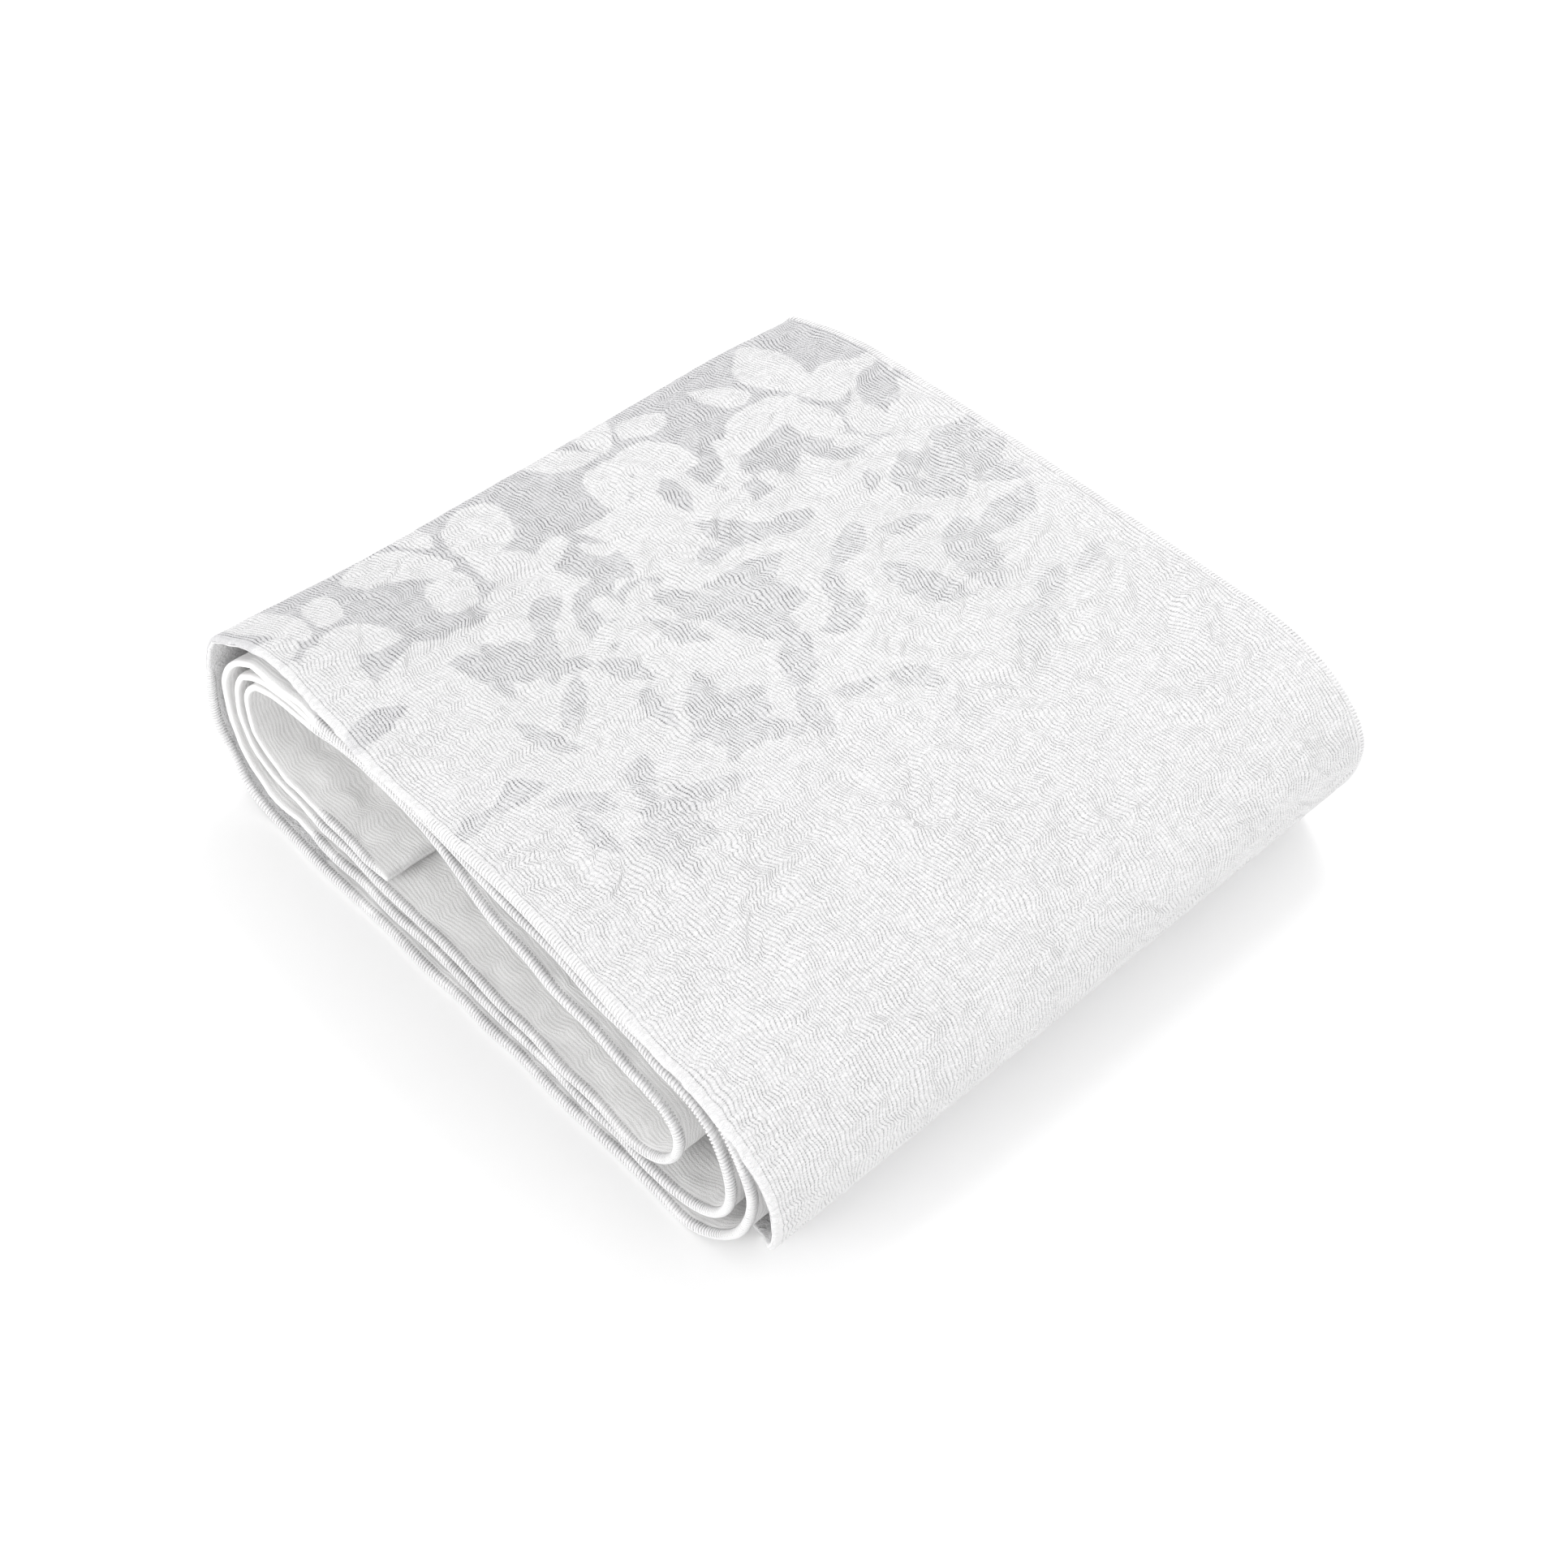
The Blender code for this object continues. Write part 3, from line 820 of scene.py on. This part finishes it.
FLOAT, COLOUR, VECTOR = "NodeSocketFloat", "NodeSocketColor", "NodeSocketVector"


def cotton_grain_group():
    """Fine slubs and fuzz of cotton yarn, as a height, a slight change of tone, and a patchy strength
    for the painted shade in the valleys."""
    group, given, result = node_group(
        "cotton_grain",
        [("Place", VECTOR), ("Yarn Scale", FLOAT)],
        [("Height", FLOAT), ("Tone", FLOAT), ("Deep", FLOAT)],
    )
    yarn = group.nodes.new("ShaderNodeTexNoise")
    yarn.inputs["Detail"].default_value = 3.0
    yarn.inputs["Roughness"].default_value = 0.6
    group.links.new(given.outputs["Place"], yarn.inputs["Vector"])
    group.links.new(given.outputs["Yarn Scale"], yarn.inputs["Scale"])
    slubs = group.nodes.new("ShaderNodeTexNoise")
    slubs.inputs["Scale"].default_value = 60.0
    slubs.inputs["Detail"].default_value = 2.0
    group.links.new(given.outputs["Place"], slubs.inputs["Vector"])
    height = math(group, "ADD", math(group, "MULTIPLY", yarn.outputs["Fac"], 0.7), slubs.outputs["Fac"])
    group.links.new(height, result.inputs["Height"])
    group.links.new(ramp(group, height, 0.5, 1.2), result.inputs["Tone"])
    patches = group.nodes.new("ShaderNodeTexNoise")
    patches.inputs["Scale"].default_value = 170.0
    patches.inputs["Detail"].default_value = 2.0
    group.links.new(given.outputs["Place"], patches.inputs["Vector"])
    deep = math(group, "MULTIPLY", ramp(group, patches.outputs["Fac"], 0.30, 0.66), 0.60)
    group.links.new(math(group, "ADD", deep, 0.40), result.inputs["Deep"])
    return group


cotton_grain = cotton_grain_group()


def mixed(tree, factor, first, second):
    """Two colours mixed by a factor."""
    node = tree.nodes.new("ShaderNodeMix")
    node.data_type = "RGBA"
    tree.links.new(factor, node.inputs["Factor"])
    for socket, value in ((node.inputs["A"], first), (node.inputs["B"], second)):
        if isinstance(value, tuple):
            socket.default_value = value
        else:
            tree.links.new(value, socket)
    return node.outputs["Result"]


def attribute(tree, name):
    """A number stored on the mesh."""
    node = tree.nodes.new("ShaderNodeAttribute")
    node.attribute_name = name
    return node.outputs["Fac"]


# The two valley colours below are painted shade, darker in the ripples' valleys: faint on the white
# ground, deep in the grey figures.
WHITE = (0.765, 0.761, 0.766, 1.0)
GROUND_VALLEY_SHADE = (0.37, 0.368, 0.375, 1.0)
FIGURE_GREY = (0.700, 0.697, 0.707, 1.0)
DEEP_GREY = (0.630, 0.626, 0.638, 1.0)
FIGURE_VALLEY_SHADE = (0.12, 0.12, 0.13, 1.0)


def woven_figures_group():
    """Colour of the jacquard: white ripples and grey figures, with painted shade in the valleys, faint
    on the white and dark in the figures.
    """
    group, given, result = node_group(
        "woven_figures",
        [("Ripple", FLOAT), ("Figure", FLOAT), ("Fade", FLOAT), ("Tone", FLOAT), ("Beads", FLOAT),
         ("Deep", FLOAT), ("Greyness", FLOAT)],
        [("Colour", COLOUR), ("Mask", FLOAT)],
    )
    # The yarn beads break the painted valley shade into dots.
    dots = math(group, "MULTIPLY", given.outputs["Beads"], 0.40)
    dotted = math(group, "ADD", given.outputs["Ripple"], dots)
    valley_shade = ramp(group, dotted, -0.02, -1.05)
    valley_shade = math(group, "MULTIPLY", valley_shade, given.outputs["Deep"])
    inside = ramp(group, given.outputs["Figure"], -1.2, 1.2)
    mask = math(group, "MULTIPLY", inside, given.outputs["Fade"])
    ground = mixed(group, valley_shade, WHITE, GROUND_VALLEY_SHADE)
    figure = mixed(group, given.outputs["Greyness"], FIGURE_GREY, DEEP_GREY)
    wide_valley_shade = math(group, "MULTIPLY", ramp(group, dotted, 0.15, -0.95), given.outputs["Deep"])
    figure = mixed(group, wide_valley_shade, figure, FIGURE_VALLEY_SHADE)
    both = mixed(group, mask, ground, figure)
    worn = mixed(group, math(group, "MULTIPLY", given.outputs["Tone"], 0.10), both, (1.0, 1.0, 1.0, 1.0))
    group.links.new(worn, result.inputs["Colour"])
    group.links.new(mask, result.inputs["Mask"])
    return group


woven_figures = woven_figures_group()


def yarn_beads_group():
    """Small swellings of the yarn along each ripple, a little over a millimetre apart."""
    group, given, result = node_group(
        "yarn_beads", [("Round", FLOAT), ("Place", VECTOR), ("Spacing", FLOAT)], [("Height", FLOAT)]
    )
    jumble = group.nodes.new("ShaderNodeTexNoise")
    jumble.inputs["Scale"].default_value = 330.0
    group.links.new(given.outputs["Place"], jumble.inputs["Vector"])
    turns = math(group, "DIVIDE", given.outputs["Round"], given.outputs["Spacing"])
    turns = math(group, "MULTIPLY", turns, 2 * np.pi)
    turns = math(group, "ADD", turns, math(group, "MULTIPLY", jumble.outputs["Fac"], 16.0))
    group.links.new(math(group, "SINE", turns, 0.0), result.inputs["Height"])
    return group


yarn_beads = yarn_beads_group()


def use_group(tree, group, **values):
    """Place a node group, with sockets or numbers for its inputs."""
    node = tree.nodes.new("ShaderNodeGroup")
    node.node_tree = group
    for name, value in values.items():
        socket = node.inputs[name.replace("_", " ")]
        if isinstance(value, (int, float)):
            socket.default_value = value
        else:
            tree.links.new(value, socket)
    return node


def new_cotton(name, roughness):
    """A matt cotton material, its tree and its shader."""
    material = bpy.data.materials.new(name)
    material.use_nodes = True
    tree = material.node_tree
    shader = tree.nodes["Principled BSDF"]
    shader.inputs["Roughness"].default_value = roughness
    shader.inputs["Specular IOR Level"].default_value = 0.25
    shader.inputs["Sheen Weight"].default_value = 0.12
    shader.inputs["Sheen Roughness"].default_value = 0.6
    return material, tree, shader


def bumped(tree, shader, height, strength, distance):
    """Raise the shader's surface by a height."""
    bump = tree.nodes.new("ShaderNodeBump")
    bump.inputs["Strength"].default_value = strength
    bump.inputs["Distance"].default_value = distance
    tree.links.new(height, bump.inputs["Height"])
    tree.links.new(bump.outputs["Normal"], shader.inputs["Normal"])


def jacquard_material():
    """White crinkled cotton with grey woven leaves and petals, which fade out to the right, and painted
    shade in the ripples' valleys.
    """
    material, tree, shader = new_cotton("white_jacquard", 0.92)
    place = tree.nodes.new("ShaderNodeTexCoord").outputs["Object"]
    grain = use_group(tree, cotton_grain, Place=place, Yarn_Scale=2600.0)
    from_crease = attribute(tree, "from_crease")
    fade = ramp(tree, from_crease, 0.330, 0.200)
    greyness = ramp(tree, from_crease, 0.170, 0.040)
    beads = use_group(
        tree, yarn_beads, Round=from_crease, Place=place, Spacing=0.00125
    ).outputs["Height"]
    figures = use_group(
        tree, woven_figures,
        Ripple=attribute(tree, "ripple"), Figure=attribute(tree, "figure"),
        Fade=fade, Tone=grain.outputs["Tone"], Beads=beads, Deep=grain.outputs["Deep"],
        Greyness=greyness,
    )
    tree.links.new(figures.outputs["Colour"], shader.inputs["Base Color"])
    relief = math(tree, "ADD", grain.outputs["Height"], math(tree, "MULTIPLY", beads, 0.45))
    bumped(tree, shader, relief, 0.8, 0.0005)
    return material


white_jacquard = jacquard_material()
for half in (outer_front, outer_back):
    half.data.materials.append(white_jacquard)
    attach(half, "root")
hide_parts("folded_duvet")

# The inner turns of the same cloth, three times round inside the outer one. They show only at the two
# ends of the roll. Ripples are modelled at the near one, and the rest has soft crumples alone.
INNER_COLUMN_WIDTH = 0.0050
INNER_RIPPLES_UNTIL = 0.036
INNER_PLAIN_STEP = 0.024
INNER_RIPPLE_HEIGHT = 0.00011
CRUMPLE = 0.0009
SOFT_EDGE = 0.0008
SOFT_EDGE_REACH = 0.012
# Painted light and shade: the inner white is the same cotton painted lighter than the outer turn, to
# brighten the shaded hollows, and the valley colour is painted shade.
INNER_WHITE_LIGHTENED = (0.875, 0.871, 0.868, 1.0)
INNER_VALLEY_SHADE = (0.74, 0.735, 0.733, 1.0)

crumples = noise_field(19, 0.010, 0.012)


def inner_turns():
    """The rest of the cloth, closed all round, with its end inside."""
    fine_rows = full_rows[full_rows * ripple_step < INNER_RIPPLES_UNTIL]
    plain = np.arange(INNER_RIPPLES_UNTIL + INNER_PLAIN_STEP / 2, ROLL_LENGTH - 0.006, INNER_PLAIN_STEP)
    rows = np.concatenate([fine_rows, plain / ripple_step, far_edge_rows])
    columns = jittered_columns(join_reach, cloth_end, INNER_COLUMN_WIDTH)
    reach, along, shifted = shifted_rows(rows, columns)
    shifted = shifted + SOFT_EDGE * crumples(reach, along) * smooth_step(1.0 - along / SOFT_EDGE_REACH)
    height = INNER_RIPPLE_HEIGHT * smooth_step((INNER_RIPPLES_UNTIL - along) / 0.006)
    sides = [crinkled_places(reach, along, shifted, rows, side, False, height) for side in (1.0, -1.0)]
    crumple = CRUMPLE * crumples(reach, along) * (0.35 + 0.65 * smooth_step(along / SOFT_EDGE_REACH))
    crumple = cloth_normal(reach, shifted / ROLL_LENGTH) * crumple[..., None]
    sides = [np.maximum(side + crumple, (-9.0, -9.0, 0.0)) for side in sides]
    piece = closed_cloth("inner_turns", *sides, range(len(rows)), range(len(columns)))
    fade = edge_fade(along, RIPPLES_START, RIPPLES_FULL) * height / INNER_RIPPLE_HEIGHT
    values = (ripple_profile(rows)[:, None] * fade).ravel()
    add_values(piece.data, "ripple", np.concatenate([values, -values]))
    return piece


inner_cloth = inner_turns()


def plain_cloth_material():
    """The same cotton inside the roll, where no figures show, painted lighter to brighten the shaded
    hollows, with painted shade in the ripples' valleys.
    """
    material, tree, shader = new_cotton("white_crinkled_cotton", 0.94)
    place = tree.nodes.new("ShaderNodeTexCoord").outputs["Object"]
    grain = use_group(tree, cotton_grain, Place=place, Yarn_Scale=1500.0)
    # Painted shade in the ripples' valleys.
    valley_shade = ramp(tree, attribute(tree, "ripple"), 0.10, -0.95)
    valley_shade = math(tree, "MULTIPLY", valley_shade, grain.outputs["Deep"])
    colour = mixed(tree, valley_shade, INNER_WHITE_LIGHTENED, INNER_VALLEY_SHADE)
    tree.links.new(colour, shader.inputs["Base Color"])
    bumped(tree, shader, grain.outputs["Height"], 0.8, 0.0005)
    return material


inner_cloth.data.materials.append(plain_cloth_material())
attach(inner_cloth, "root")

# The overlocked edges. A slanted thread goes round the cloth's edge every couple of millimetres, over
# a padded roll of thread, and it is white polyester.
STITCH_PITCH = 0.00185
STITCH_SLANT = 0.0011
THREAD_RADIUS = 0.00058
THREAD_SIDES = 5
THREAD_RINGS = 9
EDGE_ROLL_MIDDLE = 0.0019
EDGE_ROLL_REACH = 0.0025
EDGE_ROLL_HALF = 0.0019
EDGE_ROLL_TAPER = 0.0012
EDGE_ROLL_DIES = 0.016
EDGE_ROLL_STEP = 0.004
EDGE_ROLL_SIDES = 10
EDGE_ROLL_ANGLE = 145.0
EDGE_ROLL_SINKS = 0.00022
STITCH_STANDS_OUT = 0.0001
STITCH_JITTER = 0.00018
THREAD_SHADE = (0.72, 0.717, 0.72, 1.0)
THREAD_WHITE = (0.81, 0.807, 0.81, 1.0)


def roll_section(turn, swollen, fullness):
    """Place on the edge roll's section: distance in from the cloth's edge, and out from its middle.
    Turn goes from -1 at the inner face's end, by 0 at the edge, to 1 at the outer face's end."""
    angle = np.radians(EDGE_ROLL_ANGLE * turn)
    slack = (1.0 - fullness) * EDGE_ROLL_TAPER
    inward = EDGE_ROLL_MIDDLE - (EDGE_ROLL_REACH + swollen - slack) * np.cos(angle)
    outward = (EDGE_ROLL_HALF + swollen - slack) * np.sin(angle)
    return inward[..., None], outward[..., None]


def roll_fullness(centres, spans):
    """From 0 at the ends of each span, where the edge roll dies away, to 1 along it."""
    full = np.zeros(centres.shape)
    for start, end in spans:
        full = np.maximum(full, smooth_step(np.minimum(centres - start, end - centres) / EDGE_ROLL_DIES))
    return full


def edge_frame(reach, at_far):
    """Edge places, and directions into the cloth, out of its face and along the edge."""
    share = np.full(reach.shape, 1.0 if at_far else 0.0)
    into = -1.0 if at_far else 1.0
    place = cloth_middle(reach, share)
    inward = cloth_middle(reach, share + into * 0.01) - place
    inward = inward / np.linalg.norm(inward, axis=-1, keepdims=True)
    outward = cloth_normal(reach, share)
    onward = np.cross(inward, outward) * into
    return place, inward, outward, onward


def on_floor(places):
    """Nothing goes below the surface that the roll lies on."""
    places[..., 2] = np.maximum(places[..., 2], 0.0)
    return places


def edge_stitches(name, spans, at_far):
    """Thread loops round the edge over the given spans of reach, all one mesh."""
    centres = np.concatenate([np.arange(start, end, STITCH_PITCH) for start, end in spans])
    centres = centres + STITCH_JITTER * np.random.default_rng(31).uniform(-1.0, 1.0, len(centres))
    turns = np.linspace(-1.0, 1.0, THREAD_RINGS)
    full = roll_fullness(centres, spans)[:, None]
    inward_by, outward_by = roll_section(turns[None, :], STITCH_STANDS_OUT, full)
    reach = np.clip(centres[:, None] + STITCH_SLANT * turns[None, :], 0.0, cloth_end)
    place, inward, outward, onward = edge_frame(reach, at_far)
    line = place + inward * inward_by + outward * outward_by
    along = np.gradient(line, axis=1)
    along = along / np.linalg.norm(along, axis=-1, keepdims=True)
    lift = np.cross(along, onward)
    lift = lift / np.linalg.norm(lift, axis=-1, keepdims=True)
    sideways = np.cross(lift, along)
    around = np.arange(THREAD_SIDES) * 2 * np.pi / THREAD_SIDES
    taper = np.clip(1.25 - np.abs(turns) ** 4, 0.35, 1.0)
    rings = (
        line[:, :, None, :]
        + THREAD_RADIUS * taper[None, :, None, None] * (
            np.cos(around)[None, None, :, None] * lift[:, :, None, :]
            + np.sin(around)[None, None, :, None] * sideways[:, :, None, :]
        )
    )
    places = on_floor(rings.reshape(-1, 3))
    one = THREAD_RINGS * THREAD_SIDES
    quads = []
    for ring in range(THREAD_RINGS - 1):
        for k in range(THREAD_SIDES):
            a, b = ring * THREAD_SIDES + k, ring * THREAD_SIDES + (k + 1) % THREAD_SIDES
            quads.append((a, b, b + THREAD_SIDES, a + THREAD_SIDES))
    caps = [tuple(range(THREAD_SIDES)), tuple(range(one - THREAD_SIDES, one))[::-1]]
    faces = []
    for stitch in range(len(centres)):
        base = stitch * one
        faces += [tuple(base + corner for corner in quad) for quad in quads]
        faces += [tuple(base + corner for corner in cap) for cap in caps]
    return new_piece(name, places.tolist(), faces)


def edge_roll(name, start, end, at_far):
    """The padded roll under the stitches, over one span of reach."""
    centres = np.linspace(start, end, max(int((end - start) / EDGE_ROLL_STEP), 3))
    turns = np.linspace(-1.0, 1.0, EDGE_ROLL_SIDES)
    full = roll_fullness(centres, ((start, end),))[:, None]
    inward_by, outward_by = roll_section(turns[None, :], -EDGE_ROLL_SINKS, full)
    place, inward, outward, onward = edge_frame(centres, at_far)
    rings = place[:, None, :] + inward[:, None, :] * inward_by + outward[:, None, :] * outward_by
    places = on_floor(rings.reshape(-1, 3))
    faces = []
    for ring in range(len(centres) - 1):
        for k in range(EDGE_ROLL_SIDES):
            a = ring * EDGE_ROLL_SIDES + k
            b = ring * EDGE_ROLL_SIDES + (k + 1) % EDGE_ROLL_SIDES
            faces.append((a, b, b + EDGE_ROLL_SIDES, a + EDGE_ROLL_SIDES))
    last = (len(centres) - 1) * EDGE_ROLL_SIDES
    faces.append(tuple(range(EDGE_ROLL_SIDES))[::-1])
    faces.append(tuple(range(last, last + EDGE_ROLL_SIDES)))
    return new_piece(name, places.tolist(), faces)


def thread_material():
    """White overlock thread, a little glossier than the cloth."""
    material, tree, shader = new_cotton("white_thread", 0.7)
    place = tree.nodes.new("ShaderNodeTexCoord").outputs["Object"]
    grain = use_group(tree, cotton_grain, Place=place, Yarn_Scale=4200.0)
    colour = mixed(tree, grain.outputs["Tone"], THREAD_SHADE, THREAD_WHITE)
    tree.links.new(colour, shader.inputs["Base Color"])
    bumped(tree, shader, grain.outputs["Height"], 0.3, 0.0002)
    return material


def finished_thread(pieces, name, material):
    """Join pieces of thread, turn their faces outwards and give them their finish."""
    bpy.ops.object.select_all(action="DESELECT")
    for piece in pieces:
        piece.select_set(True)
    bpy.context.view_layer.objects.active = pieces[0]
    bpy.ops.object.join()
    joined = bpy.context.object
    joined.name = name
    joined.data.name = name
    bpy.ops.object.mode_set(mode="EDIT")
    bpy.ops.mesh.select_all(action="SELECT")
    bpy.ops.mesh.normals_make_consistent(inside=False)
    bpy.ops.object.mode_set(mode="OBJECT")
    bpy.ops.object.shade_smooth()
    bpy.ops.object.select_all(action="DESELECT")
    joined.data.materials.append(material)
    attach(joined, "root")
    return joined


NEAR_SPANS = (
    (reach_of("top_0") + 0.004, reach_of("top_0") + 0.165),
    (reach_of("left_fold_0") + 0.030, reach_of("top_1") + 0.262),
    (reach_of("low_1") + 0.012, reach_of("top_2") + 0.255),
    (reach_of("low_2") + 0.012, reach_of("top_3") + 0.250),
    (reach_of("low_3") + 0.012, cloth_end - 0.004),
)
FAR_SPANS = ((0.004, cloth_end - 0.004),)
thread = thread_material()
for where, spans, at_far in (("near", NEAR_SPANS, False), ("far", FAR_SPANS, True)):
    rolls = [edge_roll("edge_roll_%d" % index, *span, at_far) for index, span in enumerate(spans)]
    finished_thread(rolls, where + "_edge_roll", thread)
    stitches = edge_stitches(where + "_edge_stitches", spans, at_far)
    finished_thread([stitches], where + "_edge_stitches", thread)
